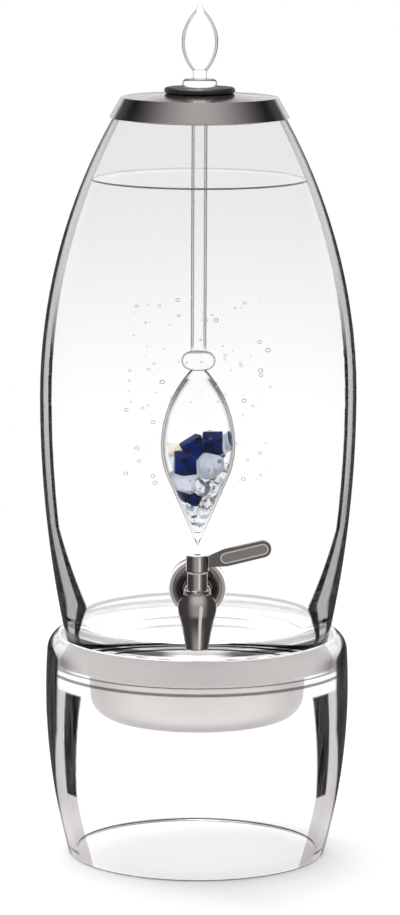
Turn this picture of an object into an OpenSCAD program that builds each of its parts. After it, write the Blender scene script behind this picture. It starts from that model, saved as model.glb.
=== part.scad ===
// Glass water dispenser: an egg-shaped vessel with a lever tap stands in a glass ring.
// Its lid carries a glass wand that ends in a sealed vial of stones.
// Millimetres, +Z up. The origin is the centre of the stand's foot ring, on the floor.
// The tap faces -Y, and its closed lever points to +X.

/* [Vessel] */
// Largest outer radius of the vessel
belly_r = 110.8; // [105:0.2:118]
// Height of the widest point above the vessel's foot
belly_h = 184.5; // [175:0.5:195]
// Height of the vessel from its foot to the rim of its mouth
vessel_h = 387.5; // [375:0.5:395]
// Radius of the wall's curve above the widest point
upper_curve_r = 402; // [390:2:440]
// Radius of the wall's curve below the widest point
lower_curve_r = 815; // [780:5:950]
// Glass thickness at the mouth
mouth_wall = 3.6; // [3:0.1:4.5]
// Glass thickness at the widest point
belly_wall = 7; // [5:0.2:8]
// Glass thickness of the wall just above the floor
base_wall = 10.5; // [9:0.5:12]
// Glass thickness of the floor
floor_t = 25; // [20:0.5:30]
// Rounding of the outer edge of the foot
foot_round_r = 13; // [10:0.5:15]
// Rounding of the inner edge of the floor
floor_round_r = 10; // [6:0.5:14]
// Radius of the hollow under the foot
punt_r = 60; // [50:1:66]
// Depth of the hollow under the foot
punt_depth = 4; // [2:0.5:6]

/* [Dish] */
// Sheet thickness of the dish
dish_t = 1.5; // [1:0.1:2]
// Height of the collar above the stand's ledge
collar_h = 17.5; // [14:0.5:20]
// Gap between the vessel and the top of the collar
collar_gap = 2.7; // [2:0.1:4]
// Width of the step that carries the vessel's foot
seat_w = 2; // [1.5:0.1:4]
// Depth of the bowl below the ledge
bowl_depth = 40; // [36:0.5:44]
// Outer rounding of the bowl's lower edge
bowl_round_r = 16; // [12:0.5:20]
// Lean of the bowl's side, in degrees
bowl_draft = 4; // [2:0.5:8]

/* [Stand] */
// Height of the stand at the inner edge of its rim
stand_h = 158; // [154:0.5:170]
// Depth of the mouth from the rim down to the ledge
mouth_depth = 19; // [18:0.5:21]
// Glass between the mouth and the stand's widest point
stand_side = 8.8; // [8:0.2:11]
// Height of the stand's widest point
stand_wide_z = 118; // [112:1:124]
// Radius of the stand's long outer curve
stand_curve_r = 445; // [400:5:520]
// Radius of the rounded shoulder below the rim
shoulder_r = 14; // [12:0.5:16]
// Width of the ledge that carries the dish
ledge_w = 3.2; // [2.5:0.1:6]
// Height below which the stand's inside curves in
stand_bend_z = 100; // [85:1:120]
// Glass thickness at the foot
stand_foot_wall = 6.5; // [4:0.1:8]
// Rounding of the foot's outer edge
stand_round_r = 1.4; // [1:0.1:2]

/* [Tap] */
// Height of the tap's hole above the vessel's foot
tap_h = 68.5; // [64:0.5:74]
// Gap between the flange's edge and the edge of the flat pad ground into the wall
pad_gap = 0.5; // [0.3:0.1:3]
// Depth of the flat face ground into the outside of the wall
pad_depth = 2.4; // [1.5:0.1:3]
// Height of the glass boss inside the wall, at the pad's lower edge
boss_h = 0.4; // [0.2:0.1:2]
// Radius of the threaded shank
shank_r = 8; // [7.5:0.1:8.4]
// Bore of the shank
shank_bore_r = 5; // [4:0.1:5.5]
// Radius of the bell-shaped flange
flange_r = 19; // [17:0.2:20]
// Depth of the flange from the gasket to the tap body
flange_depth = 9; // [7:0.5:11]
// Distance from the flange's front to the spout's axis
spout_reach = 16; // [15:0.5:19]
// Distance from the hole's axis down to the spout's outlet
spout_drop = 37.3; // [35:0.1:42]
// Outer radius of the spout above its rounded lip
outlet_r = 8.1; // [7.8:0.1:9]
// Bore of the spout's outlet
outlet_bore_r = 5.5; // [5:0.1:5.7]
// Largest radius of the spout
spout_r = 13.3; // [12.5:0.1:14.5]
// Height of the spout's widest point above its outlet
spout_wide_h = 29.8; // [28:0.1:31]
// Radius of the spout's outward curve round its widest point
spout_curve_r = 28; // [24:0.5:34]
// Steepest slope of the spout's side, in degrees
spout_taper = 15.6; // [14:0.1:18]
// Radius of the arched shoulder on top of the spout
arch_r = 14; // [13.5:0.1:18]
// Radius of the neck above the shoulder
neck_r = 6.9; // [6.7:0.05:7.4]
// Radius of the flare where the neck meets the shoulder
neck_flare_r = 1.5; // [1:0.1:2]
// Radius of the valve plug
plug_r = 4.5; // [4.2:0.1:4.6]
// Radius of the port through the plug
port_r = 2.8; // [2.4:0.1:3]
// Thickness of the valve sleeve and of the gaskets
seal_t = 1; // [0.8:0.1:1.1]
// Radius of the lever's hub
hub_r = 7.75; // [7.2:0.05:8.5]
// Height of the lever's hub
hub_h = 11.4; // [11:0.1:14]
// Chamfer of the hub's edges
hub_chamfer = 0.6; // [0.3:0.1:1]
// Length of the lever from the hub's axis to its tip
lever_len = 51; // [46:0.5:60]
// Width of the lever's paddle
paddle_w = 11.4; // [10:0.1:13]
// Thickness of the lever's paddle
paddle_t = 4.2; // [3.6:0.1:5]
// Slope of the lever, in degrees
lever_slope = 14; // [10:0.5:18]

/* [Lid] */
// Height of the lid's skirt below the vessel's rim
skirt_h = 7; // [5:0.5:9]
// Height of the lid's shoulder above the vessel's rim
lid_rise = 7; // [6:0.5:9]
// Height that the lid's top gains from its shoulder to its hole
crown_h = 2.6; // [2:0.1:4]
// Sheet thickness of the lid
lid_t = 1.2; // [0.8:0.1:1.5]
// Gap between the lid's skirt and the vessel
lid_gap = 1.3; // [1:0.1:2]
// Radius of the hole in the lid
lid_hole_r = 21.3; // [19:0.1:22]
// Width of the stopper's flange beyond the hole
stopper_lip = 3.3; // [2.5:0.1:5]
// Thickness of the stopper's flange
stopper_t = 4.1; // [3.5:0.1:5]
// Length of the stopper's plug below its flange
stopper_plug_h = 15; // [10:0.5:20]

/* [Wand] */
// Outer radius of the wand's tube
tube_r = 5.45; // [5:0.05:6]
// Glass thickness of the wand's tube
tube_wall = 1.35; // [1:0.05:1.6]
// Length of the tube from the stopper's top to the bead
tube_len = 184.6; // [170:0.2:190]
// Radius of the bead between tube and vial
bead_r = 11.9; // [11:0.1:14]
// Height of the bead
bead_h = 12.8; // [12:0.1:16]
// Outer radius of the vial
vial_r = 26.2; // [25:0.1:28]
// Glass thickness of the vial
vial_wall = 1.6; // [1.3:0.1:2]
// Radius of the vial's neck under the bead
vial_neck_r = 5.2; // [5:0.1:6]
// Height of the vial above its widest point
vial_top_h = 54; // [50:0.5:58]
// Height of the vial below its widest point
vial_low_h = 71.5; // [68:0.5:76]
// Radius of the vial's curve below its widest point
vial_curve_r = 57; // [50:1:62]
// Solid glass at the vial's tip
vial_tip_h = 10; // [8:0.5:13]
// Radius of the finial's base
finial_base_r = 12.1; // [11:0.1:13]
// Height of the finial's base
finial_base_h = 5.7; // [5:0.1:6.5]
// Height of the finial above its base
finial_h = 52.6; // [50:0.1:56]
// Largest radius of the finial's flame
flame_r = 12.6; // [11.5:0.1:14]
// Glass thickness of the flame
flame_wall = 1.2; // [1:0.1:1.6]

/* [Hidden] */
$fn = 96;

// Fineness of the circles whose arcs make long curves
arc_fn = 720;
// Number of straight steps in an arc of the wand's outline
arc_steps = 24;
// Half-width of the sheets that cut circles into arcs
reach = 3 * belly_r;
// Overshoot of a cutting tool past the face it cuts
over = 1;

// Clearances
mouth_clearance = 0.6;
shank_clearance = 0.3;
thread_clearance = 0.05;
running_clearance = 0.05;
thrust_clearance = 0.1;
stopper_clearance = 0.2;
stone_clearance = 0.4;

// Heights of the nested parts
ledge_z = stand_h - mouth_depth;
foot_z = ledge_z + dish_t;
belly_z = foot_z + belly_h;
rim_z = foot_z + vessel_h;
floor_z = foot_z + floor_t;
tap_z = foot_z + tap_h;
collar_top_z = ledge_z + collar_h;
bowl_z = ledge_z - bowl_depth;

// How far an arc of radius r falls away from its widest point over a distance d
function arc_fall(r, d) = r - sqrt(r * r - d * d);
// Radius of the arc that falls by a given amount over a distance d
function arc_radius(fall, d) = (d * d + fall * fall) / (2 * fall);
// Point at distance ra from a and rb from b, on the left of the way from a to b
function meeting_point(a, ra, b, rb) =
    let (span = norm(b - a))
    let (along = (ra * ra - rb * rb + span * span) / (2 * span))
    let (aside = sqrt(ra * ra - along * along))
    let (way = (b - a) / span)
    a + along * way + aside * [-way[1], way[0]];

// Vessel radii
function outer_r(z) =
    belly_r - arc_fall(z > belly_z ? upper_curve_r : lower_curve_r, z - belly_z);
rim_out_r = outer_r(rim_z);
rim_in_r = rim_out_r - mouth_wall;
belly_in_r = belly_r - belly_wall;
floor_r = outer_r(floor_z) - base_wall;
upper_in_curve_r = arc_radius(belly_in_r - rim_in_r, rim_z - belly_z);
lower_in_curve_r = arc_radius(belly_in_r - floor_r, belly_z - floor_z);
function inner_r(z) =
    belly_in_r - arc_fall(z > belly_z ? upper_in_curve_r : lower_in_curve_r, z - belly_z);
// Radius at which a rounding of radius f meets a floor, a drop below the widest point of a wall curve
function round_r(widest_r, curve_r, drop, f) =
    widest_r - curve_r + sqrt(pow(curve_r - f, 2) - pow(drop - f, 2));
foot_flat_r = round_r(belly_r, lower_curve_r, belly_h, foot_round_r);

// Dish and stand radii
collar_r = outer_r(collar_top_z) + collar_gap + dish_t;
bowl_r = foot_flat_r - seat_w;
mouth_r = collar_r + mouth_clearance;
stand_r = mouth_r + stand_side;
stand_ledge_r = mouth_r - ledge_w;
stand_foot_r = stand_r - arc_fall(stand_curve_r, stand_wide_z);
stand_foot_in_r = stand_foot_r - stand_foot_wall;
stand_in_curve_r = arc_radius(stand_ledge_r - stand_foot_in_r, stand_bend_z);

// Tap places along Y, from the wall outwards and inwards
gasket_t = 2 * seal_t;
washer_t = 1.5;
nut_h = 7;
nut_wall = 6;
thread_past_nut = 6;
pad_r = flange_r + pad_gap;
pad_y = -(outer_r(tap_z) - pad_depth);
boss_y = -(inner_r(tap_z - pad_r) - boss_h);
flange_y = pad_y - gasket_t;
body_y = flange_y - flange_depth;
spout_y = body_y - spout_reach;
washer_y = boss_y + gasket_t;
nut_y = washer_y + washer_t;
shank_end_y = nut_y + nut_h + thread_past_nut;
tap_hole_r = shank_r + 2 * shank_clearance;
gasket_inset = 1;
gasket_r = flange_r - gasket_inset;
inner_gasket_r = gasket_r - gasket_inset;
washer_r = inner_gasket_r - gasket_inset;
socket_wall = 1.5;
body_boss_r = shank_r + socket_wall;
// Distance from the spout's axis to the middle of the boss's round end
boss_end = 4;
socket_depth = 5.5;

// Tap heights, from the outlet up to the hub's top
sleeve_r = plug_r + running_clearance + seal_t;
valve_bore_r = sleeve_r + thread_clearance;
port_land = 4;
plug_tail_h = 4;
valve_half_h = port_r + port_land;
outlet_z = tap_z - spout_drop;
valve_z = tap_z - valve_half_h - plug_tail_h;
valve_top_z = tap_z + valve_half_h;
lip_round_r = 1.2;
lip_z = outlet_z + lip_round_r;
widest_z = outlet_z + spout_wide_h;
// The spout's side bends from its outward curve to a hollow one, which ends at the lip
bend_r = spout_r - spout_curve_r * (1 - cos(spout_taper));
bend_z = widest_z - spout_curve_r * sin(spout_taper);
lip_taper = 2 * atan((bend_r - outlet_r) / (bend_z - lip_z)) - spout_taper;
hollow_curve_r = (bend_z - lip_z) / (sin(spout_taper) - sin(lip_taper));
arch_rise = 3;
arch_top_z = tap_z + arch_rise;
arch_z = arch_top_z - arch_r;
throat_h = 6;
throat_gap = 1;
throat_r = port_r + throat_gap;
bonnet_thread_h = 3.7;
neck_top_z = valve_top_z + bonnet_thread_h;
bonnet_t = 4.4;
bonnet_top_z = neck_top_z + bonnet_t;
thrust_t = 0.9;
hub_z = bonnet_top_z + thrust_t + thrust_clearance;
hub_top_z = hub_z + hub_h;
stem_r = 3;
square_w = 4.4;
square_h = 7.5;
o_ring_d = 1.2;
o_ring_spacing = 2.9;
screw_r = 1.25;
screw_head_r = 2.3;
screw_head_h = 1.8;
screw_sink = 2.2;
screw_stop = 2;
lever_root_h = 4.8;
paddle_taper = 12;
paddle_start = hub_r + paddle_taper;
root_share = 0.62;
panel_inset = 1.9;
panel_rim_w = 0.9;
panel_rim_rise = 0.35;
panel_depth = 0.4;

// Lid heights and radii
skirt_z = rim_z - skirt_h;
shoulder_lid_z = rim_z + lid_rise;
crown_z = shoulder_lid_z + crown_h;
skirt_in_r = outer_r(skirt_z) + lid_gap;
lid_slope = (skirt_in_r - rim_out_r - lid_gap) / skirt_h;
function lid_in_r(z) = rim_out_r + lid_gap - lid_slope * (z - rim_z);
lid_side_t = lid_t * sqrt(1 + lid_slope * lid_slope);
seal_lip_h = 9;
seal_lip_t = 2.5;
seal_gap = 0.6;
stopper_r = lid_hole_r + stopper_lip;
stopper_z = crown_z + thread_clearance;
stopper_top_z = stopper_z + stopper_t;

// Wand heights, from the finial down to the vial's tip
finial_z = stopper_top_z + finial_base_h;
finial_tip_z = finial_z + finial_h;
flame_belly_h = 25.4;
flame_solid_h = 6.2;
flame_z = finial_z + flame_belly_h;
flame_tip_r = 3.6;
flame_tip_z = finial_tip_z - flame_solid_h;
flame_curve_r = arc_radius(flame_r - flame_tip_r, flame_tip_z - flame_z);
finial_neck_r = 4.8;
tip_point_r = 0.4;
tube_end_z = stopper_top_z - tube_len;
bead_z = tube_end_z - bead_h;
vial_z = bead_z - vial_top_h;
vial_tip_z = vial_z - vial_low_h;
vial_top_curve_r = arc_radius(vial_r - vial_neck_r, vial_top_h);
vial_neck_h = 6;
vial_in_r = vial_r - vial_wall;

// Rings and arcs
// Part of a circle right of the axis, between two heights
module disc_slice(centre, radius, z_low, z_high) {
    intersection() {
        translate(centre) circle(radius, $fn = arc_fn);
        translate([0, z_low]) square([reach, z_high - z_low]);
    }
}

// Rectangle between two radii and two heights
module band(r_in, r_out, z_low, z_high) {
    translate([r_in, z_low]) square([r_out - r_in, z_high - z_low]);
}

// Flat ring that stands on height z
module ring(r_in, r_out, z, h) {
    translate([0, 0, z]) difference() {
        cylinder(r = r_out, h = h);
        translate([0, 0, -over]) cylinder(r = r_in, h = h + 2 * over);
    }
}

// Carries a shape that stands on the floor, along +Z, to lie along -Y from a given y at the tap's height
module along_tap(y) {
    translate([0, y, tap_z]) rotate([90, 0, 0]) children();
}

// Wall curve below the widest point, down to a floor with a rounded edge
module cup_half(widest_r, widest_z, curve_r, z, f) {
    flat_r = round_r(widest_r, curve_r, widest_z - z, f);
    edge = [flat_r, z + f];
    centre = [widest_r - curve_r, widest_z];
    touch = centre + (edge - centre) * curve_r / (curve_r - f);
    disc_slice(centre, curve_r, touch[1], widest_z);
    disc_slice(edge, f, z, touch[1]);
    band(0, flat_r, z, touch[1]);
}

// Glass stand
module stand_profile() {
    centre = [stand_r - stand_curve_r, stand_wide_z];
    edge = meeting_point([mouth_r, stand_h], shoulder_r, centre, stand_curve_r - shoulder_r);
    touch = centre + (edge - centre) * stand_curve_r / (stand_curve_r - shoulder_r);
    difference() {
        union() {
            cup_half(stand_r, stand_wide_z, stand_curve_r, 0, stand_round_r);
            disc_slice(centre, stand_curve_r, stand_wide_z, touch[1]);
            disc_slice(edge, shoulder_r, touch[1], stand_h + shoulder_r);
        }
        band(0, mouth_r, ledge_z, stand_h + shoulder_r);
        band(0, stand_ledge_r, stand_bend_z, ledge_z + over);
        disc_slice(
            [stand_ledge_r - stand_in_curve_r, stand_bend_z], stand_in_curve_r, -over, stand_bend_z + over
        );
    }
}

module glass_stand() {
    color("#dfe6e8", 0.35) rotate_extrude() stand_profile();
}

// Support dish
// Bowl of the dish, drawn inset from its outside by a wall
module bowl_profile(inset) {
    centre_z = bowl_z + bowl_round_r;
    lean = (ledge_z - centre_z) * tan(bowl_draft);
    centre = [bowl_r - lean - bowl_round_r / cos(bowl_draft), centre_z];
    edge_r = bowl_round_r - inset;
    touch = centre + edge_r * [cos(bowl_draft), -sin(bowl_draft)];
    top_z = foot_z + over;
    top_r = touch[0] + (top_z - touch[1]) * tan(bowl_draft);
    polygon([[0, touch[1]], touch, [top_r, top_z], [0, top_z]]);
    disc_slice(centre, edge_r, bowl_z + inset, touch[1] + over);
    band(0, centre[0], bowl_z + inset, touch[1] + over);
}

module dish_profile() {
    band(collar_r - dish_t, collar_r, ledge_z, collar_top_z - dish_t / 2);
    disc_slice([collar_r - dish_t / 2, collar_top_z - dish_t / 2], dish_t / 2, ledge_z, collar_top_z);
    difference() {
        union() {
            band(0, collar_r, ledge_z, foot_z);
            intersection() {
                bowl_profile(0);
                band(0, collar_r, bowl_z, foot_z);
            }
        }
        bowl_profile(dish_t);
    }
}

module support_dish() {
    color("#cfc6c2") rotate_extrude() dish_profile();
}

// Glass vessel
module vessel_profile() {
    difference() {
        union() {
            disc_slice([belly_r - upper_curve_r, belly_z], upper_curve_r, belly_z, rim_z);
            cup_half(belly_r, belly_z, lower_curve_r, foot_z, foot_round_r);
        }
        disc_slice([belly_in_r - upper_in_curve_r, belly_z], upper_in_curve_r, belly_z, rim_z + over);
        cup_half(belly_in_r, belly_z, lower_in_curve_r, floor_z, floor_round_r);
    }
}

module glass_vessel() {
    punt_sphere_r = arc_radius(punt_depth, punt_r);
    color("#e6edef", 0.3) difference() {
        union() {
            rotate_extrude() vessel_profile();
            along_tap(boss_y) cylinder(r = pad_r, h = boss_y - pad_y + over);
        }
        along_tap(pad_y) cylinder(r = pad_r + running_clearance, h = belly_r);
        along_tap(boss_y + over) cylinder(r = tap_hole_r, h = boss_y - pad_y + 2 * over);
        translate([0, 0, foot_z + punt_depth - punt_sphere_r]) sphere(punt_sphere_r, $fn = arc_fn);
    }
}

// Tap
module outer_gasket() {
    color("#3a3a3a") along_tap(pad_y) ring(tap_hole_r, gasket_r, 0, gasket_t);
}

module tap_flange() {
    rim_t = 2.2;
    bell_r = flange_depth - rim_t;
    rim_w = 1.9;
    bell_edge_r = flange_r - rim_w;
    color("#6f6865") along_tap(flange_y) rotate_extrude() difference() {
        union() {
            band(shank_r + shank_clearance, flange_r, 0, rim_t);
            band(shank_r + shank_clearance, bell_edge_r, rim_t, flange_depth);
        }
        translate([bell_edge_r, flange_depth]) circle(bell_r);
    }
}

module spout_profile() {
    hollow = [bend_r, bend_z] + hollow_curve_r * [cos(spout_taper), -sin(spout_taper)];
    disc_slice([spout_r - spout_curve_r, widest_z], spout_curve_r, bend_z, arch_top_z + over);
    difference() {
        band(0, bend_r, lip_z, bend_z + over);
        translate(hollow) circle(hollow_curve_r, $fn = arc_fn);
    }
    translate([outlet_r - lip_round_r, lip_z]) circle(lip_round_r);
    band(0, outlet_r - lip_round_r, outlet_z, lip_z + over);
}

// Everything under the arched shoulder, a vault that runs from front to back
module under_arch() {
    half_w = spout_r + over;
    translate([0, spout_y + reach / 2, 0]) rotate([90, 0, 0]) linear_extrude(reach) {
        translate([0, arch_z]) circle(arch_r);
        translate([-half_w, outlet_z - over]) square([2 * half_w, arch_z - outlet_z + over]);
    }
}

module neck_profile() {
    flare_r = neck_r + neck_flare_r;
    flare_z = arch_top_z + neck_flare_r;
    band(0, neck_r, arch_z, neck_top_z);
    difference() {
        band(0, flare_r, arch_z, flare_z);
        translate([flare_r, flare_z]) circle(neck_flare_r);
    }
}

module tap_body() {
    color("#6f6865") difference() {
        union() {
            intersection() {
                translate([0, spout_y, 0]) rotate_extrude() spout_profile();
                under_arch();
            }
            translate([0, spout_y, 0]) rotate_extrude() neck_profile();
            along_tap(body_y) cylinder(r = body_boss_r, h = spout_reach - boss_end);
            along_tap(spout_y + boss_end) sphere(body_boss_r);
        }
        along_tap(body_y + over) cylinder(r = shank_r + thread_clearance, h = socket_depth + over);
        along_tap(body_y) cylinder(r = port_r + running_clearance, h = spout_reach);
        translate([0, spout_y, 0]) {
            translate([0, 0, valve_z]) cylinder(r = valve_bore_r, h = neck_top_z);
            translate([0, 0, valve_z - throat_h]) cylinder(r = throat_r, h = throat_h + over);
            translate([0, 0, outlet_z - over]) {
                cylinder(r = outlet_bore_r, h = valve_z - throat_h - outlet_z + over);
            }
        }
    }
}

module tap_shank() {
    length = shank_end_y - body_y + socket_depth;
    color("#8a8482") along_tap(shank_end_y) ring(shank_bore_r, shank_r, 0, length);
}

module inner_gasket() {
    color("#3a3a3a") along_tap(washer_y) ring(shank_r + shank_clearance, inner_gasket_r, 0, gasket_t);
}

module inner_washer() {
    color("#a9a4a2") along_tap(nut_y) ring(shank_r + shank_clearance, washer_r, 0, washer_t);
}

module lock_nut() {
    nut_corner_r = shank_r + nut_wall;
    color("#a9a4a2") along_tap(nut_y + nut_h) difference() {
        cylinder(r = nut_corner_r, h = nut_h, $fn = 6);
        translate([0, 0, -over]) cylinder(r = shank_r + thread_clearance, h = nut_h + 2 * over);
    }
}

module valve_sleeve() {
    color("#f0eee8") difference() {
        translate([0, spout_y, 0]) {
            ring(plug_r + running_clearance, sleeve_r, valve_z, valve_top_z - valve_z);
        }
        along_tap(spout_y + sleeve_r + over) cylinder(r = port_r, h = sleeve_r);
    }
}

module bonnet_nut() {
    color("#6f6865") translate([0, spout_y, 0]) {
        ring(stem_r + running_clearance, sleeve_r, valve_top_z, neck_top_z - valve_top_z);
        ring(stem_r + running_clearance, neck_r, neck_top_z, bonnet_t);
    }
}

// Moving valve and lever
module valve_plug() {
    plug_low_z = valve_z + thrust_clearance;
    plug_top_z = valve_top_z - thrust_clearance;
    square_z = hub_z;
    color("#b9b3b0") translate([0, spout_y, 0]) difference() {
        union() {
            translate([0, 0, plug_low_z]) cylinder(r = plug_r, h = plug_top_z - plug_low_z);
            grooved_stem(plug_top_z, square_z);
            translate([-square_w / 2, -square_w / 2, square_z]) cube([square_w, square_w, square_h]);
        }
        translate([0, 0, valve_z - over]) cylinder(r = port_r, h = tap_z - valve_z + over);
        translate([0, 0, tap_z]) rotate([0, -90, 0]) cylinder(r = port_r, h = plug_r + over);
        translate([0, 0, square_z]) cylinder(r = screw_r - running_clearance, h = square_h + over);
    }
}

// Heights of the two O-rings on the stem
function o_ring_heights() =
    let (middle = (valve_top_z + bonnet_top_z) / 2)
    [middle - o_ring_spacing / 2, middle + o_ring_spacing / 2];

// Stem with a groove for each O-ring
module grooved_stem(z_low, z_high) {
    difference() {
        translate([0, 0, z_low]) cylinder(r = stem_r, h = z_high - z_low);
        for (z = o_ring_heights()) {
            ring(stem_r - o_ring_d, stem_r + over, z - o_ring_d / 2, o_ring_d);
        }
    }
}

module stem_o_rings() {
    color("#2b2b2b") translate([0, spout_y, 0]) {
        for (z = o_ring_heights()) {
            translate([0, 0, z]) rotate_extrude() {
                translate([stem_r - o_ring_d / 2, 0]) circle(d = o_ring_d, $fn = 32);
            }
        }
    }
}

module stem_washer() {
    color("#f0eee8") translate([0, spout_y, 0]) {
        ring(stem_r + running_clearance, neck_r, bonnet_top_z, thrust_t);
    }
}

// Bar with round ends, from one distance along the lever to another
module bar(u_low, u_high, width) {
    translate([u_low, 0]) circle(d = width);
    translate([u_high, 0]) circle(d = width);
    translate([u_low, -width / 2]) square([u_high - u_low, width]);
}

module paddle_profile() {
    root_w = root_share * paddle_w;
    polygon([
        [0, -root_w / 2], [hub_r, -root_w / 2], [paddle_start, -paddle_w / 2],
        [paddle_start, paddle_w / 2], [hub_r, root_w / 2], [0, root_w / 2]
    ]);
    translate([paddle_start, -paddle_w / 2]) {
        square([lever_len - paddle_w / 2 - paddle_start, paddle_w]);
    }
    translate([lever_len - paddle_w / 2, 0]) circle(d = paddle_w);
}

// Long panel on the lever's face, drawn inset from its raised rim
module panel_profile(inset) {
    panel_end = lever_len - paddle_w / 2;
    bar(paddle_start, panel_end, paddle_w - 2 * (panel_inset + inset));
}

module paddle() {
    difference() {
        union() {
            translate([0, 0, -paddle_t / 2]) linear_extrude(paddle_t) paddle_profile();
            translate([0, 0, -paddle_t / 2 - panel_rim_rise]) {
                linear_extrude(paddle_t + 2 * panel_rim_rise) panel_profile(0);
            }
        }
        for (side = [0, 1]) {
            mirror([0, 0, side]) translate([0, 0, paddle_t / 2 - panel_depth]) {
                linear_extrude(paddle_t) panel_profile(panel_rim_w);
            }
        }
    }
}

module hub_profile() {
    chamfered_r = hub_r - hub_chamfer;
    polygon([
        [0, hub_z], [chamfered_r, hub_z], [hub_r, hub_z + hub_chamfer],
        [hub_r, hub_top_z - hub_chamfer], [chamfered_r, hub_top_z], [0, hub_top_z]
    ]);
}

module lever_handle() {
    square_fit_w = square_w + 2 * running_clearance;
    color("#6f6865") translate([0, spout_y, 0]) difference() {
        union() {
            rotate_extrude() hub_profile();
            translate([0, 0, hub_z + lever_root_h]) rotate([90, -lever_slope, 0]) paddle();
        }
        translate([-square_fit_w / 2, -square_fit_w / 2, hub_z - over]) {
            cube([square_fit_w, square_fit_w, square_h + over]);
        }
        translate([0, 0, hub_z]) cylinder(r = screw_r, h = hub_h);
        translate([0, 0, hub_top_z - screw_sink]) cylinder(r = screw_head_r + running_clearance, h = hub_h);
    }
}

module hub_screw() {
    head_z = hub_top_z - screw_sink;
    shaft_end_z = hub_z + screw_stop;
    hex_r = 1.1;
    hex_depth = 1.2;
    color("#2f2b2a") translate([0, spout_y, 0]) difference() {
        union() {
            translate([0, 0, head_z]) cylinder(r = screw_head_r, h = screw_head_h);
            translate([0, 0, shaft_end_z]) {
                cylinder(r = screw_r - 2 * running_clearance, h = head_z - shaft_end_z);
            }
        }
        translate([0, 0, head_z + screw_head_h - hex_depth]) {
            cylinder(r = hex_r, h = hex_depth + over, $fn = 6);
        }
    }
}

// Lid
module lid_seal() {
    lip_r = rim_in_r - seal_gap;
    seal_top_z = shoulder_lid_z - lid_t;
    color("#e9e7e4") rotate_extrude() {
        band(lip_r - seal_lip_t, lid_in_r(seal_top_z) - seal_gap, rim_z, seal_top_z);
        band(lip_r - seal_lip_t, lip_r, rim_z - seal_lip_h, rim_z);
    }
}

module lid_cap() {
    crown_in_z = crown_z - lid_t;
    color("#7d7573") rotate_extrude() polygon([
        [skirt_in_r, skirt_z], [skirt_in_r + lid_side_t, skirt_z],
        [lid_in_r(shoulder_lid_z) + lid_side_t, shoulder_lid_z],
        [lid_hole_r, crown_z], [lid_hole_r, crown_in_z],
        [lid_in_r(shoulder_lid_z - lid_t), shoulder_lid_z - lid_t]
    ]);
}

module stopper() {
    edge_r = stopper_t / 2;
    plug_r_top = lid_hole_r - stopper_clearance;
    color("#2a2829") rotate_extrude() difference() {
        union() {
            band(0, stopper_r - edge_r, stopper_z, stopper_top_z);
            disc_slice([stopper_r - edge_r, stopper_z + edge_r], edge_r, stopper_z, stopper_top_z);
            band(0, plug_r_top, stopper_z - stopper_plug_h, stopper_z);
        }
        band(0, tube_r + stopper_clearance, 0, stopper_top_z + over);
    }
}

// Wand
// Points of an arc, from one angle to another
function arc_points(centre, radius, from_angle, to_angle) = [
    for (i = [0 : arc_steps])
        let (angle = from_angle + (to_angle - from_angle) * i / arc_steps)
        centre + radius * [cos(angle), sin(angle)]
];

// Round edge of a disc, from its top down
function disc_edge(r, z, h) = arc_points([r - h / 2, z + h / 2], h / 2, 90, -90);

// Flame of the finial from its top down, drawn inset from its outside by a wall
function flame_outline(inset, top_z) =
    let (curve = flame_curve_r - inset)
    let (neck_turn = acos((flame_curve_r - flame_r + finial_neck_r) / flame_curve_r))
    arc_points([flame_r - flame_curve_r, flame_z], curve, asin((top_z - flame_z) / curve), -neck_turn);

// Vial from its neck down to its tip, drawn inset from its outside by a wall
function vial_outline(inset, top_h) =
    let (top_curve = vial_top_curve_r - inset)
    let (low_centre = [vial_r - vial_curve_r, vial_z])
    let (way = [0, vial_tip_z] - low_centre)
    let (turn = atan2(way[1], way[0]) + acos(vial_curve_r / norm(way)))
    concat(
        arc_points([vial_r - vial_top_curve_r, vial_z], top_curve, asin(top_h / top_curve), 0),
        arc_points(low_centre, vial_curve_r - inset, turn / arc_steps, turn),
        [[0, vial_tip_z - inset / sin(turn)]]
    );

// Hollow of the vial, closed by solid glass at its neck and its tip
module vial_hollow(inset) {
    top_h = vial_top_h - vial_neck_h;
    intersection() {
        polygon(concat([[0, vial_z + top_h]], vial_outline(inset, top_h)));
        band(0, reach, vial_tip_z + vial_tip_h, vial_z + top_h);
    }
}

module flame_hollow() {
    top_z = flame_tip_z - flame_wall;
    outline = flame_outline(flame_wall, top_z);
    low_z = outline[len(outline) - 1][1];
    polygon(concat([[0, top_z]], outline, [[0, low_z]]));
}

module wand_glass() {
    color("#eef3f5", 0.35) rotate_extrude() difference() {
        polygon(concat(
            [[0, finial_tip_z], [tip_point_r, finial_tip_z]],
            flame_outline(0, flame_tip_z),
            [[finial_neck_r, finial_z]],
            disc_edge(finial_base_r, stopper_top_z, finial_base_h),
            [[tube_r, stopper_top_z], [tube_r, tube_end_z]],
            disc_edge(bead_r, bead_z, bead_h),
            vial_outline(0, vial_top_h)
        ));
        flame_hollow();
        band(0, tube_r - tube_wall, tube_end_z, stopper_top_z);
        vial_hollow(vial_wall);
    }
}

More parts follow.
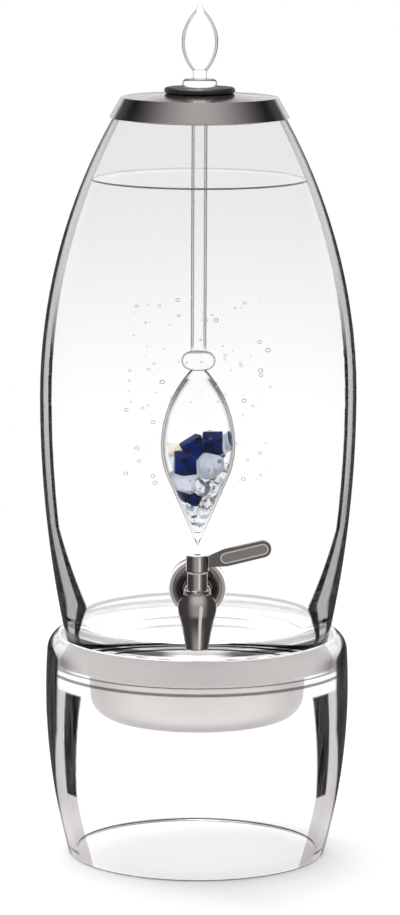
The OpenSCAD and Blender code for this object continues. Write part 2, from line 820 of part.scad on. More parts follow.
// Stones, each placed by its middle and size as shares of the vial's inner radius:
// [right, back, above the widest point, size]
blue_places = [
    [-0.36, -0.44, -0.46, 0.38], [-0.08, -0.34, -0.03, 0.34], [0.46, -0.42, 0.10, 0.34],
    [0.84, 0.02, 0.12, 0.26], [-0.46, -0.34, -1.36, 0.20], [-0.10, -0.46, -1.44, 0.20]
];
pale_places = [
    [0.34, -0.52, -0.46, 0.40], [-0.40, -0.36, -0.98, 0.46], [0.30, 0.34, -0.30, 0.46],
    [-0.40, 0.36, -0.62, 0.46], [-0.62, 0.02, -0.14, 0.22]
];
quartz_places = [
    [0.62, -0.36, -0.84, 0.28], [0.72, 0.12, -0.72, 0.28], [0.34, 0.10, -0.88, 0.30],
    [0.08, -0.50, -1.12, 0.26], [0.44, -0.32, -1.20, 0.26], [0.48, 0.20, -1.20, 0.28],
    [0.08, 0.46, -1.08, 0.32], [-0.36, 0.26, -1.20, 0.32],
    [0.22, -0.32, -1.54, 0.24], [0.28, 0.10, -1.56, 0.24], [-0.28, -0.04, -1.60, 0.24],
    [-0.04, 0.30, -1.54, 0.26], [-0.14, -0.22, -1.84, 0.20], [0.14, -0.10, -1.88, 0.20],
    [-0.02, 0.16, -1.88, 0.22], [0.02, -0.06, -2.14, 0.20], [0.00, 0.00, -2.36, 0.18]
];
all_places = concat(blue_places, pale_places, quartz_places);
// Sides of the two boxes that make a chunk, as shares of the stone's size
first_box_share = [2, 1.7, 1.6];
second_box_share = [1.9, 1.8, 2];
first_seed = 20;
// Stones further apart than this share of their sizes can't touch
near_share = 1.5;

function stone_middle(place) = [0, 0, vial_z] + vial_in_r * [place[0], place[1], place[2]];

// Rough chunk: boxes turned to different angles, cut by one another
module chunk(size, seed) {
    turns = rands(0, 90, 6, seed);
    intersection() {
        rotate([turns[0], turns[1], turns[2]]) cube(size * first_box_share, center = true);
        rotate([turns[3], turns[4], turns[5]]) cube(size * second_box_share, center = true);
    }
}

// A stone is cut back to the plane midway to each neighbour, so that no two overlap
module stone(index) {
    middle = stone_middle(all_places[index]);
    size = vial_in_r * all_places[index][3];
    intersection() {
        difference() {
            translate(middle) chunk(size, index + first_seed);
            for (other = [0 : len(all_places) - 1]) {
                if (other != index) cut_towards(middle, size, all_places[other]);
            }
        }
        rotate_extrude() vial_hollow(vial_wall + stone_clearance);
    }
}

module cut_towards(middle, size, place) {
    way = stone_middle(place) - middle;
    span = norm(way);
    other_size = vial_in_r * place[3];
    share = size / (size + other_size);
    if (span < near_share * (size + other_size)) {
        translate(middle) rotate([0, acos(way[2] / span), atan2(way[1], way[0])]) {
            translate([-2 * size, -2 * size, share * span - stone_clearance / 2]) cube(4 * size);
        }
    }
}

module blue_stones() {
    color("#14235e") for (i = [0 : len(blue_places) - 1]) stone(i);
}

module pale_stones() {
    first = len(blue_places);
    color("#b3bfdd") for (i = [0 : len(pale_places) - 1]) stone(first + i);
}

module quartz_chips() {
    first = len(blue_places) + len(pale_places);
    color("#e8ebf2") for (i = [0 : len(quartz_places) - 1]) stone(first + i);
}

glass_stand();
support_dish();
glass_vessel();
outer_gasket();
tap_flange();
tap_body();
tap_shank();
inner_gasket();
inner_washer();
lock_nut();
valve_sleeve();
bonnet_nut();
valve_plug();
stem_o_rings();
stem_washer();
lever_handle();
hub_screw();
lid_seal();
lid_cap();
stopper();
wand_glass();
blue_stones();
pale_stones();
quartz_chips();
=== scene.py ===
# Looks of a glass water dispenser: an egg-shaped vessel with a lever tap, on a glass ring stand.
# Lengths are in metres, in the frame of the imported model: +Z up, the tap faces -Y.
import math
import random

import bmesh
import bpy
from mathutils import Matrix, Vector


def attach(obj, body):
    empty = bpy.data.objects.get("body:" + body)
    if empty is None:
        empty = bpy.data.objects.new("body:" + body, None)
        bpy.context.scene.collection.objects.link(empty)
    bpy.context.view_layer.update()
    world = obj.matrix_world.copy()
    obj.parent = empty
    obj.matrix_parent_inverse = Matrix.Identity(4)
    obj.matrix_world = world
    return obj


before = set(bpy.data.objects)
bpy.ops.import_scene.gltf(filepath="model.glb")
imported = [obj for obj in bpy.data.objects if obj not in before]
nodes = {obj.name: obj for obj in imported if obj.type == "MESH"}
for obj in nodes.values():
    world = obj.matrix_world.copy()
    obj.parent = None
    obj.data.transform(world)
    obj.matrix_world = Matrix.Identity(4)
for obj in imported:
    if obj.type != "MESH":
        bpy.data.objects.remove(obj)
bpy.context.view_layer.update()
MM = 0.001

# Pairs of numbers are soft edges, where a value begins and ends to change, or a low and a high value.

# Camera, as the photograph was taken, with its lens and sensor in millimetres
CAMERA_PLACE = (1.4 * MM, -2.85, 0.74)
CAMERA_PITCH = math.radians(9.125)
CAMERA_ROLL = math.radians(0.27)
CAMERA_LENS = 161.8
CAMERA_SENSOR = 36

# Light that glass shows, by a direction's Y: white from behind, and a little less from the camera's side
BEHIND_LIGHT = 1.06
BEFORE_LIGHT = 0.88
BEFORE_EDGE = (-0.95, -0.6)

# Studio that metal mirrors: a window right of the camera, a soft front, a backdrop and a light overhead.
# Angles are turns from the camera's side in radians, and heights are a direction's Z.
WINDOW_LEFT = (math.radians(9), math.radians(14))
WINDOW_RIGHT = (math.radians(30), math.radians(38))
WINDOW_LIGHT = 1.3
WINDOW_TOP = (-0.1, 0.02)
FRONT_MIDDLE = math.radians(4)
FRONT_EDGE = (math.radians(12), math.radians(72))
FRONT_BOTTOM = (-0.68, -0.45)
FRONT_LIGHT = 0.6
FRONT_RISE = (-0.12, 0.15)
FRONT_HIGH = 1.6
DARK_LIGHT = 0.09
BACKDROP_EDGE = (math.radians(100), math.radians(130))
BACKDROP_RISE = (-0.02, 0.06)
BACKDROP_TOP = (0.18, 0.26)
LOW_LIGHTS_TOP = (0.35, 0.5)
OVERHEAD_AIM = (0, -0.49, 0.87)
OVERHEAD_LIGHT = 0.75
OVERHEAD_FALL = 2.7

# Floor, which glass and metal show only near the object, light of the room, and the lamp above
FLOOR_RADIUS = 1.2
FLOOR_STEPS = 128
FLOOR_DROP = 0.2 * MM
FLOOR_FAR = (0.12, 0.2)
FLOOR_GLOW = 0.4
FLOOR_COLOUR = 0.6
ROOM_LIGHT = 0.6
KEY_WATTS = 34
KEY_PLACE = (-0.15, 0.25, 2.1)
KEY_AIM = (0, 0, 0.25)
KEY_SIZE = 0.9

# Parts of a vector that stay when it is made level, or square to the tap's axis
LEVEL = (1, 1, 0)
UPRIGHT = (1, 0, 1)
# Half a step, which tells whole counts of a light path apart
HALF_STEP = 0.5
# Blend at which a slant is one less the cosine
EVEN_BLEND = 0.5

# Noises are given by scale, detail, distortion and stretch, and bumps by depth and strength.

# Glass: how far it bends light, after how many bounces light is let out, and what is left of it then.
# The water behind its wall takes away part of the vessel's bend and gloss.
VESSEL_BEND = 1.13
STAND_BEND = 1.12
WAND_BEND = 1.13
BUBBLE_BEND = 1.2
GLASS_BOUNCES = 24
STAND_BOUNCES = 5
CAUGHT_LIGHT = 0.9
GLASS_WAVES = (9.0, 1.0)
GLASS_RIPPLE = 0.01 * MM
NO_RIPPLE = 0.0
CLEAR = (0.993, 0.995, 0.994, 1)
# Faint warm tint of the painted grey bands in thick glass
WARM_TINT = (1.0, 0.945, 0.965)
# Distance from the axis along a normal, past which a surface counts as an outer one
OUTER_LEAST = 0.5 * MM

# The vessel's bands, lines, outline and upper shade below are painted shade in its glass colour
# Vessel's wall: the slant at which its inner surface ends, low and high up, and at the floor.
# A slant is 0 square on and 1 along the surface. Reach runs from that end, 0, to the outline, 1.
VESSEL_EDGE_HEIGHTS = (189 * MM, 240 * MM)
VESSEL_EDGES = (0.43, 0.62)
VESSEL_FLOOR_HEIGHTS = (164 * MM, 186 * MM)
VESSEL_FLOOR_EDGES = (0.58, 0.43)
# Reach of its painted grey band, painted dark inner line and painted dark outline
VESSEL_BAND = (0.0, 0.04)
VESSEL_LINE_END = (0.16, 0.19)
VESSEL_LINE_TOP = (360 * MM, 420 * MM)
VESSEL_OUTLINE = (0.4, 0.48)
# Shares of light that its painted grey band, painted dark lines and painted upper shade let in
VESSEL_GREYS = (0.42, 0.55)
VESSEL_GREY_HEIGHTS = (240 * MM, 330 * MM)
VESSEL_DARK = (0.01, 0.07)
# Drawn-out marks in its painted dark lines
VESSEL_SHADE_STREAKS = (1.0, 3.0, 0.0, (90, 90, 900))
VESSEL_SHADE_STREAKS_RANGE = (0.4, 0.7)
VESSEL_SHADE_HEIGHTS = (260 * MM, 510 * MM)
VESSEL_SHADE = 0.875
# Painted shade: dark line round its base with a gap in the middle, grey band above it, and ring on the
# floor inside
VESSEL_BASE_LOW = (158 * MM, 158.6 * MM)
VESSEL_BASE_HIGH = (161.6 * MM, 163.2 * MM)
VESSEL_BASE_GAP = (8 * MM, 26 * MM)
VESSEL_BASE_DARK = 0.2
VESSEL_FOOT_LOW = (163.0 * MM, 164.5 * MM)
VESSEL_FOOT_HIGH = (167.0 * MM, 168.5 * MM)
VESSEL_FOOT_GREY = 0.74
VESSEL_RING_LOW = (167.0 * MM, 167.6 * MM)
VESSEL_RING_HIGH = (168.8 * MM, 169.6 * MM)
VESSEL_RING_GREY = 0.62

# Stand's wall, in the same way, its bands and lines painted shade
STAND_EDGE_HEIGHTS = (52 * MM, 127 * MM)
STAND_EDGES = (0.5, 0.36)
STAND_BAND = (0.0, 0.03)
STAND_GREY = 0.62
STAND_DARK = (0.01, 0.07)
# Drawn-out marks in its painted dark streaks and outline
STAND_SHADE_STREAKS = (1.0, 2.0, 0.0, (260, 260, 30))
STAND_SHADE_STREAKS_RANGE = (0.35, 0.7)
# Heights between which its painted dark streaks run
STAND_STREAK_LOW = (50.5 * MM, 52 * MM)
STAND_STREAK_HIGH = (125 * MM, 127 * MM)
STAND_STREAK_END = (0.23, 0.26)
# Painted dark outline, which is thinner towards the foot and on the shoulder
STAND_OUTLINE = (0.36, 0.44)
STAND_THIN_HEIGHTS = (46 * MM, 96 * MM)
STAND_THIN = 0.26
STAND_SHOULDER_HEIGHTS = (146 * MM, 158 * MM)
STAND_SHOULDER_THIN = 0.3
# Painted shade: grey sides of the mouth, two lines along the ledge, and the dark edge of the foot
STAND_MOUTH = (-0.05, 0.3)
STAND_MOUTH_HEIGHTS = (137 * MM, 141 * MM)
STAND_MOUTH_GREY = 0.4
STAND_LEDGE_LOW = (133.2 * MM, 133.8 * MM)
STAND_LEDGE_HIGH = (135.4 * MM, 136.0 * MM)
STAND_UPPER_LOW = (138.6 * MM, 139.2 * MM)
STAND_UPPER_HIGH = (139.6 * MM, 140.2 * MM)
STAND_LEDGE_DARK = 0.3
STAND_FOOT_HEIGHT = (0.9 * MM, 1.5 * MM)
STAND_FOOT_RADIUS = (89.6 * MM, 90 * MM)
STAND_FOOT_DARK = 0.12

# Wand's painted dark outline by slant, wider on the tube and at the vial's neck, and paler above the lid
WAND_OUTLINE = (0.4, 0.8)
WAND_TUBE_HEIGHTS = (358 * MM, 362 * MM)
WAND_TUBE_WIDER = 0.16
WAND_NECK_HEIGHTS = (312 * MM, 340 * MM)
WAND_NECK_END = (344.5 * MM, 346 * MM)
WAND_NECK_WIDER = (-0.05, 0.14)
WAND_DARK = (0.05, 0.22)
WAND_PALE_HEIGHTS = (530 * MM, 540 * MM)

# Water that the vessel holds: its flat surface, the rise at the glass and the line along it
WATER_HEIGHT = 477.5 * MM
WATER_RADIUS = 75 * MM
WATER_HOLE = 28 * MM
WATER_FULL = 60 * MM
WATER_FLAT = 0.8
MENISCUS = 1.6 * MM
MENISCUS_STEPS = 6
MENISCUS_POWER = 3
# Pale painted sheen of the surface, which grows where it is seen flat
WATER_SLANT = (0.3, 1.0)
WATER_SHEEN_SHARES = (0.04, 0.14)
WATER_SHEEN_COLOUR = (0.93, 0.96, 0.97, 1)
WATER_ROUGHNESS = 0.03
WATER_BEND = 1.33
WATER_WAVES = (60.0, 2.0)
WATER_RIPPLE = 0.05 * MM
# Painted dark line of shade where the water meets the glass
WATER_LINE = (-0.2 * MM, 1.1 * MM)
WATER_LINE_SHARES = (0.95, 0.3)
WATER_LINE_NOISE = (70.0, 2.0)
WATER_LINE_SHADE_COLOURS = ((0.1, 0.105, 0.11, 1), (0.2, 0.21, 0.22, 1))
WATER_LINE_ROUGHNESS = 0.3
WATER_LINE_GLOSS = 0.1

# Bubbles in the water, more small ones than large, in a ring that the wand clears as it is lifted out
BUBBLE_COUNT = 110
BUBBLE_SEED = 11
BUBBLE_SIZES = (0.5 * MM, 1.9 * MM)
BUBBLE_POWER = 2
BUBBLE_FINENESS = 2
# Painted dark outline of each bubble
BUBBLE_OUTLINE = (0.1, 0.55)
BUBBLE_DARK = 0.15
BUBBLE_RING = (30 * MM, 52 * MM)
BUBBLE_HEIGHTS = (258 * MM, 400 * MM)
BUBBLE_SQUASH = 0.82

# Dish: satin lines and clouds, painted shade on its collar and sides, painted light where it faces up or
# inward
DISH_COLOUR = (0.92, 0.87, 0.86)
DISH_LINES = (1.0, 2.0, 0.0, (25, 25, 2600))
DISH_LINES_RANGE = (0.25, 0.75)
DISH_LINES_BUMP = (0.02 * MM, 0.3)
DISH_CLOUDS = (14.0, 3.0)
DISH_CLOUDED = 0.86
DISH_GLOSS = (0.42, 0.55)
DISH_METAL = (0.35, 0.2)
DISH_COLLAR = (135 * MM, 139 * MM)
DISH_TURNED = (0.12, 0.6)
DISH_PAINTED_SHADE = 0.68
DISH_UP = (0.2, 0.8)
DISH_PAINTED_LIGHT = (0.98, 0.97, 0.965, 1)

# Stones in the vial: deep blue ones, of which the one at the side is striped
BLUE_COLOURS = ((0.0005, 0.0015, 0.014, 1), (0.002, 0.016, 0.16, 1))
BLUE_CLOUDS = (160.0, 4.0, 0.6)
BLUE_RANGE = (0.35, 0.7)
BLUE_BUMP = (0.25 * MM, 0.6)
BLUE_GLOSS = 0.01
STRIPED_FROM = (13 * MM, 14 * MM)
STRIPE_COLOUR = (0.72, 0.78, 0.9, 1)
STRIPE_SCALE = 26.0
STRIPE_DISTORTION = 5.0
STRIPE_DETAIL = 2.0
STRIPE_RANGE = (0.6, 0.75)
STRIPE_SHARE = 0.85
STONE_ROUGHNESS = 0.3
# Pale cloudy ones, of which a chip high on the left is warm in tone
PALE_COLOURS = ((0.76, 0.83, 0.97, 1), (0.96, 0.97, 1.0, 1))
PALE_CLOUDS = (120.0, 4.0, 0.8)
PALE_RANGE = (0.3, 0.7)
PALE_BUMP = (0.3 * MM, 0.6)
PALE_CLEARNESS = 0.8
PALE_BEND = 1.08
WARM_LEFT_OF = (-13 * MM, -10 * MM)
WARM_ABOVE = (282 * MM, 285 * MM)
WARM_COLOUR = (0.95, 0.86, 0.76, 1)
# Clear chips of quartz with dark blue specks
QUARTZ_COLOURS = ((0.82, 0.87, 0.98, 1), (1.0, 1.0, 1.0, 1))
QUARTZ_CLOUDS = (240.0, 4.0, 1.2)
QUARTZ_RANGE = (0.3, 0.55)
QUARTZ_BUMP = (0.5 * MM, 0.8)
QUARTZ_GLOSS_RANGE = (0.35, 0.7)
QUARTZ_GLOSS = (0.02, 0.2)
QUARTZ_CLEARNESS = 0.95
QUARTZ_BEND = 1.11
SPECKS = (420.0, 2.0)
SPECK_RANGE = (0.62, 0.68)
SPECK_COLOUR = (0.16, 0.21, 0.42, 1)

# Polished metal of the tap and lid, with cloudy wear in its gloss and patches in its tone
TAP_COLOUR = (0.5, 0.455, 0.44)
TAP_GLOSS = (0.07, 0.12)
LID_COLOUR = (0.52, 0.48, 0.47)
LID_GLOSS = (0.14, 0.2)
WEAR = (180.0, 4.0)
WEAR_RANGE = (0.3, 0.7)
PATCHES = (40.0, 2.0)
PATCH_SHADE = 0.92

# Lever: the axis that it turns on, the edge of its hub, and slopes and looks of the hub's satin top
HUB_AXIS = (0, -127.1 * MM, 0)
HUB_EDGE = (7.9 * MM, 8.2 * MM)
HUB_TOP = (0.93, 0.98)
# Hub's top is satin, with painted light that makes it pale where it faces up
HUB_TOP_LIT_COLOUR = (0.95, 0.93, 0.92, 1)
HUB_TOP_ROUGHNESS = 0.55
HUB_TOP_METAL = (1.0, 0.3)
# Distances from the middle of the paddle's thickness at which its panel ends and its rim begins
PADDLE_PANEL = (1.85 * MM, 1.95 * MM)
PADDLE_RIM = (2.2 * MM, 2.3 * MM)
PADDLE_LINES = (1.0, 2.0, 0.0, (700, 700, 3200))
PADDLE_COLOURS = ((0.15, 0.13, 0.125, 1), (0.2, 0.175, 0.168, 1))
PANEL_COLOURS = ((0.22, 0.195, 0.185, 1), (0.4, 0.355, 0.34, 1))
# Painted highlight along the panel's raised rim
PADDLE_RIM_HIGHLIGHT = (0.75, 0.69, 0.67, 1)
LEVER_GLOSS = (0.09, 0.2)

# Tap's flange: a point on the tap's level axis, where the rim begins, and its painted shade and highlight
TAP_AXIS = (0, 0, 209 * MM)
FLANGE_RIM = (16.6 * MM, 17.2 * MM)
FLANGE_BELL_SHADE_COLOURS = ((0.17, 0.15, 0.145, 1), (0.22, 0.195, 0.19, 1))
FLANGE_RIM_HIGHLIGHT = (0.56, 0.52, 0.51, 1)
FLANGE_GLOSS = (0.07, 0.12)

# Plain steel with an even grain
GRAIN = (1.0, 2.0, 0.0, (900, 900, 900))
GRAIN_RANGE = (0.25, 0.75)
GRAIN_SHADE = 0.9
GRAIN_BUMP = (0.02 * MM, 0.3)
STEEL_COLOUR = (0.6, 0.59, 0.58)
STEEL_GLOSS = (0.2, 0.33)
DARK_STEEL_COLOUR = (0.12, 0.11, 0.11)
DARK_STEEL_GLOSS = (0.25, 0.38)

# Rubber and plastic: colour and roughness of each, and their moulded grain
GASKET_LOOK = ((0.03, 0.03, 0.03), 0.6)
STOPPER_LOOK = ((0.022, 0.02, 0.021), 0.42)
SEAL_LOOK = ((0.8, 0.8, 0.79), 0.5)
PLASTIC_LOOK = ((0.8, 0.8, 0.78), 0.4)
MOULD = (900.0, 3.0)
MOULD_SHADE = 0.85
MOULD_BUMP = (0.02 * MM, 0.4)

# Soft edges on polished metal, and steps of a turned surface
EDGE_WIDTH = 0.3 * MM
EDGE_ANGLE = math.radians(40)
EDGE_STEPS = 2
LATHE_STEPS = 128


class Shader:
    """Short calls that add and join nodes in the tree of a material or world."""

    def __init__(self, owner):
        owner.use_nodes = True
        self.owner = owner
        self.tree = owner.node_tree
        self.tree.nodes.clear()

    def add(self, kind, **values):
        made = self.tree.nodes.new(kind)
        for key, value in values.items():
            setattr(made, key, value)
        return made

    def join(self, source, target):
        self.tree.links.new(source, target)

    def feed(self, socket, value):
        if isinstance(value, bpy.types.NodeSocket):
            self.join(value, socket)
        else:
            socket.default_value = value

    def finish(self, surface, output="ShaderNodeOutputMaterial"):
        self.join(surface, self.add(output).inputs["Surface"])
        return self.owner

    # Places and directions
    def coords(self, name="Object"):
        return self.add("ShaderNodeTexCoord").outputs[name]

    def geometry(self, name):
        return self.add("ShaderNodeNewGeometry").outputs[name]

    def light_path(self):
        return self.add("ShaderNodeLightPath").outputs

    def slant(self):
        """How a surface is seen: 0 square on, and 1 along it."""
        made = self.add("ShaderNodeLayerWeight")
        made.inputs["Blend"].default_value = EVEN_BLEND
        return made.outputs["Facing"]

    def parts(self, vector):
        made = self.add("ShaderNodeSeparateXYZ")
        self.join(vector, made.inputs[0])
        return made.outputs

    def vector(self, operation, first, second=None):
        """Vector operation, of which a dot product or a length gives a number."""
        made = self.add("ShaderNodeVectorMath", operation=operation)
        self.feed(made.inputs[0], first)
        if second is not None:
            self.feed(made.inputs[1], second)
        gives_number = operation in ("DOT_PRODUCT", "LENGTH")
        return made.outputs["Value" if gives_number else "Vector"]

    # Numbers
    def math(self, operation, first, second=0.0):
        made = self.add("ShaderNodeMath", operation=operation)
        self.feed(made.inputs[0], first)
        self.feed(made.inputs[1], second)
        return made.outputs[0]

    def times(self, first, *others):
        for other in others:
            first = self.math("MULTIPLY", first, other)
        return first

    def largest(self, first, *others):
        for other in others:
            first = self.math("MAXIMUM", first, other)
        return first

    def rest_of(self, share):
        return self.math("SUBTRACT", 1.0, share)

    def ramp(self, value, low, high, from_value=0.0, to_value=1.0, kind="SMOOTHSTEP"):
        made = self.add("ShaderNodeMapRange", interpolation_type=kind)
        self.feed(made.inputs["Value"], value)
        self.feed(made.inputs["From Min"], low)
        self.feed(made.inputs["From Max"], high)
        self.feed(made.inputs["To Min"], from_value)
        self.feed(made.inputs["To Max"], to_value)
        return made.outputs[0]

    def fall(self, value, edge):
        """1 below a soft edge, and 0 above it."""
        return self.ramp(value, *edge, 1.0, 0.0)

    def between(self, value, low_edge, high_edge):
        """1 between two soft edges, and 0 outside them."""
        return self.times(self.ramp(value, *low_edge), self.fall(value, high_edge))

    def noise(self, scale, detail, distortion=0.0, stretch=(1, 1, 1)):
        mapping = self.add("ShaderNodeMapping")
        mapping.inputs["Scale"].default_value = stretch
        self.join(self.coords(), mapping.inputs["Vector"])
        made = self.add("ShaderNodeTexNoise")
        made.inputs["Scale"].default_value = scale
        made.inputs["Detail"].default_value = detail
        made.inputs["Distortion"].default_value = distortion
        self.join(mapping.outputs["Vector"], made.inputs["Vector"])
        return made.outputs["Fac"]

    # Colours and surfaces
    def blend(self, share, first, second):
        made = self.add("ShaderNodeMix", data_type="RGBA")
        self.feed(made.inputs["Factor"], share)
        self.feed(made.inputs["A"], first)
        self.feed(made.inputs["B"], second)
        return made.outputs["Result"]

    def bump(self, height, depth, strength=1.0):
        made = self.add("ShaderNodeBump")
        made.inputs["Strength"].default_value = strength
        made.inputs["Distance"].default_value = depth
        self.join(height, made.inputs["Height"])
        return made.outputs["Normal"]

    def principled(self, **values):
        made = self.add("ShaderNodeBsdfPrincipled")
        for key, value in values.items():
            self.feed(made.inputs[key.replace("_", " ")], value)
        return made.outputs[0]

    def mix_surfaces(self, share, first, second):
        made = self.add("ShaderNodeMixShader")
        for socket, value in zip(made.inputs, (share, first, second)):
            self.join(value, socket)
        return made.outputs[0]


def new_shader(name):
    return Shader(bpy.data.materials.new(name))


def grey(value):
    return (value, value, value, 1)


def shade_of(colour, share=1.0):
    return (*[share * part for part in colour], 1)


def link(obj):
    bpy.context.scene.collection.objects.link(obj)
    return obj


def object_of(name, form, smooth=True):
    """Object in the scene, made from a mesh in the making."""
    for face in form.faces:
        face.smooth = smooth
    mesh = bpy.data.meshes.new(name)
    form.to_mesh(mesh)
    form.free()
    return link(bpy.data.objects.new(name, mesh))


# Camera, studio and lamp
def make_camera():
    data = bpy.data.cameras.new("camera")
    data.lens = CAMERA_LENS
    data.sensor_width = CAMERA_SENSOR
    camera = link(bpy.data.objects.new("camera", data))
    turn = Matrix.Rotation(math.pi / 2 - CAMERA_PITCH, 4, "X") @ Matrix.Rotation(CAMERA_ROLL, 4, "Z")
    camera.matrix_world = Matrix.Translation(CAMERA_PLACE) @ turn
    bpy.context.scene.camera = camera


def light_on_metal(shader, way):
    """Window, soft front, backdrop and overhead light, as polished metal mirrors them."""
    across, depth, rise = shader.parts(way)
    turn = shader.math("ARCTAN2", across, shader.times(depth, -1.0))
    right_half = shader.ramp(turn, *WINDOW_RIGHT, WINDOW_LIGHT, 0.0)
    window = shader.times(shader.ramp(turn, *WINDOW_LEFT), right_half, shader.fall(rise, WINDOW_TOP))
    off_middle = shader.math("ABSOLUTE", shader.math("SUBTRACT", turn, FRONT_MIDDLE))
    peak = shader.ramp(rise, *FRONT_BOTTOM, DARK_LIGHT, FRONT_LIGHT)
    peak = shader.times(peak, shader.ramp(rise, *FRONT_RISE, 1.0, FRONT_HIGH))
    front = shader.ramp(off_middle, *FRONT_EDGE, peak, DARK_LIGHT)
    backdrop = shader.ramp(shader.math("ABSOLUTE", turn), *BACKDROP_EDGE)
    backdrop = shader.times(backdrop, shader.between(rise, BACKDROP_RISE, BACKDROP_TOP))
    low = shader.times(shader.largest(window, front, backdrop), shader.fall(rise, LOW_LIGHTS_TOP))
    near = shader.largest(shader.vector("DOT_PRODUCT", way, OVERHEAD_AIM), 0.0)
    overhead = shader.times(shader.math("POWER", near, OVERHEAD_FALL), OVERHEAD_LIGHT)
    return shader.largest(low, overhead)


def make_world():
    world = bpy.data.worlds.new("studio")
    bpy.context.scene.world = world
    shader = Shader(world)
    path = shader.light_path()
    way = shader.coords("Generated")
    # Light that has passed glass shows white, and a mirror in the open shows the metal's lights
    passed = shader.math("GREATER_THAN", path["Transmission Depth"], HALF_STEP)
    through = shader.ramp(shader.parts(way)["Y"], *BEFORE_EDGE, BEFORE_LIGHT, BEHIND_LIGHT)
    mirrored = shader.blend(passed, light_on_metal(shader, way), through)
    lit = shader.blend(path["Is Glossy Ray"], grey(ROOM_LIGHT), mirrored)
    lit = shader.blend(path["Is Transmission Ray"], lit, through)
    background = shader.add("ShaderNodeBackground")
    shader.join(shader.blend(path["Is Camera Ray"], lit, grey(1.0)), background.inputs["Color"])
    shader.finish(background.outputs[0], "ShaderNodeOutputWorld")


def make_floor():
    form = bmesh.new()
    bmesh.ops.create_circle(form, cap_ends=True, segments=FLOOR_STEPS, radius=FLOOR_RADIUS)
    floor = object_of("floor", form, smooth=False)
    floor.location.z = -FLOOR_DROP
    shader = new_shader("floor")
    path = shader.light_path()
    mirrored = shader.largest(path["Is Glossy Ray"], path["Is Transmission Ray"])
    emission = shader.add("ShaderNodeEmission")
    emission.inputs["Color"].default_value = grey(FLOOR_GLOW)
    shader.join(shader.largest(mirrored, path["Is Camera Ray"]), emission.inputs["Strength"])
    diffuse = shader.add("ShaderNodeBsdfDiffuse")
    diffuse.inputs["Color"].default_value = grey(FLOOR_COLOUR)
    both = shader.add("ShaderNodeAddShader")
    shader.join(emission.outputs[0], both.inputs[0])
    shader.join(diffuse.outputs[0], both.inputs[1])
    # Glass and metal show the studio in place of the floor's far parts
    far = shader.ramp(shader.vector("LENGTH", shader.geometry("Position")), *FLOOR_FAR)
    clear = shader.add("ShaderNodeBsdfTransparent")
    surface = shader.mix_surfaces(shader.times(far, mirrored), both.outputs[0], clear.outputs[0])
    floor.data.materials.append(shader.finish(surface))


def make_key_light():
    data = bpy.data.lights.new("key", "AREA")
    data.energy = KEY_WATTS
    data.size = KEY_SIZE
    key = link(bpy.data.objects.new("key", data))
    key.location = KEY_PLACE
    aim = Vector(KEY_AIM) - key.location
    key.rotation_euler = aim.to_track_quat("-Z", "Y").to_euler()


# Glass and water
def painted_glass_shade(light, tint=(1.0, 1.0, 1.0)):
    """Painted shade in glass that lets this share of light in, as each surface takes its square root."""
    return (*[(light * share) ** 2 for share in tint], 1)


def height_of(shader):
    return shader.parts(shader.coords())["Z"]


def from_axis(shader):
    """Vector from the Z axis to the point, level."""
    return shader.vector("MULTIPLY", shader.coords(), LEVEL)


def off_axis(shader):
    return shader.vector("LENGTH", from_axis(shader))


def entering(shader):
    """1 where light enters the glass, and 0 where it leaves."""
    return shader.rest_of(shader.geometry("Backfacing"))


def entering_outside(shader):
    """1 where light enters through the outer surface of a turned glass."""
    outward = shader.vector("DOT_PRODUCT", from_axis(shader), shader.coords("Normal"))
    return shader.times(entering(shader), shader.math("GREATER_THAN", outward, OUTER_LEAST))


def edge_reach(shader, start):
    """How far a slant lies between the end of a wall's inner surface, 0, and the outline, 1."""
    past = shader.math("SUBTRACT", shader.slant(), start)
    return shader.math("DIVIDE", past, shader.rest_of(start))


def painted_streaky_shade(shader, shares, marks, contrast):
    """Painted shade in glass: dark between two shares of light, with drawn-out marks in it."""
    low, high = shares
    return shader.blend(shader.ramp(shader.noise(*marks), *contrast), painted_glass_shade(low), painted_glass_shade(high))


